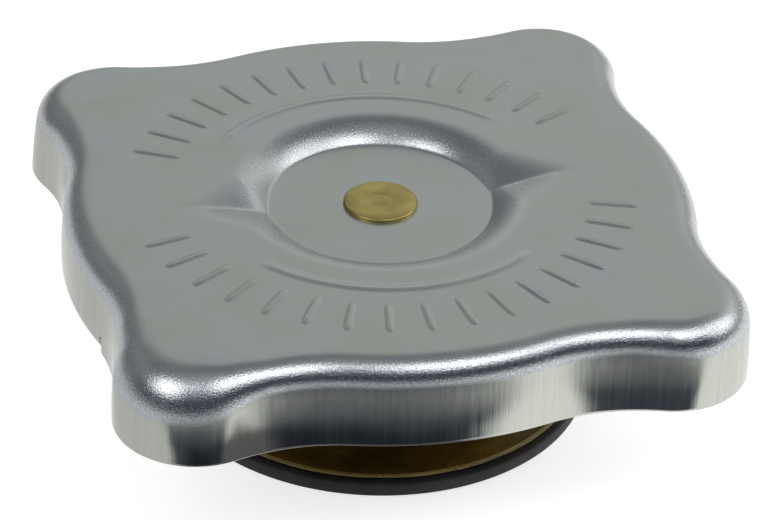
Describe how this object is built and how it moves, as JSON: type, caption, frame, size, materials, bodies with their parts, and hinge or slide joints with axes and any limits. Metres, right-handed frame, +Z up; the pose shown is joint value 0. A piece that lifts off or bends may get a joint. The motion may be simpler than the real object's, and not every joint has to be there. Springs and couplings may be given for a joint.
{
  "type": "radiator cap",
  "caption": "Square pressed radiator cap with rounded ears, bayonet lugs, a winged central recess and a swivelling spring-loaded pressure valve with a small vacuum valve in it.",
  "frame": {"origin": "middle of the pressure gasket's sealing face, which is the bottom of the cap", "axes": "+Z up along the cap's axis, X through the two bayonet lugs and the wings of the recess, ears on the diagonals"},
  "size_m": [0.066, 0.066, 0.0232],
  "materials": {
    "plated_cover": "zinc-plated pressed steel, satin on the flats and bright on the bends",
    "rivet_brass": "dull brass",
    "spring_steel": "bright drawn steel",
    "yellow_brass": "pressed brass",
    "plate_brass": "pressed brass, toned",
    "seal_rubber": "matte black rubber"
  },
  "bodies": {
    "cover": {"cover": "plated_cover", "centre_rivet": "rivet_brass", "rivet_washer": "rivet_brass"},
    "valve_unit": {"neck_spring_disc": "spring_steel", "neck_gasket": "seal_rubber", "spring_cage": "yellow_brass", "pressure_spring": "spring_steel"},
    "pressure_valve": {"valve_cup": "yellow_brass", "valve_plate": "plate_brass", "pressure_gasket": "seal_rubber", "valve_eyelet": "yellow_brass", "vacuum_spring": "spring_steel"},
    "vacuum_valve": {"vacuum_valve": "yellow_brass", "vacuum_seal": "seal_rubber", "vacuum_clip": "spring_steel"}
  },
  "joints": [
    {"name": "valve_swivel", "type": "hinge", "parent": "cover", "child": "valve_unit", "pos_m": [0, 0, 0.019], "axis": [0, 0, 1], "continuous": true},
    {"name": "pressure_valve_lift", "type": "slide", "parent": "valve_unit", "child": "pressure_valve", "axis": [0, 0, 1], "range_m": [0, 0.004], "stiffness_N_per_m": 5500, "springref_m": -0.0155, "deforming": ["pressure_spring"]},
    {"name": "vacuum_valve_open", "type": "slide", "parent": "pressure_valve", "child": "vacuum_valve", "axis": [0, 0, -1], "range_m": [0, 0.0015], "stiffness_N_per_m": 800, "springref_m": -0.0017, "deforming": ["vacuum_spring"]}
  ]
}
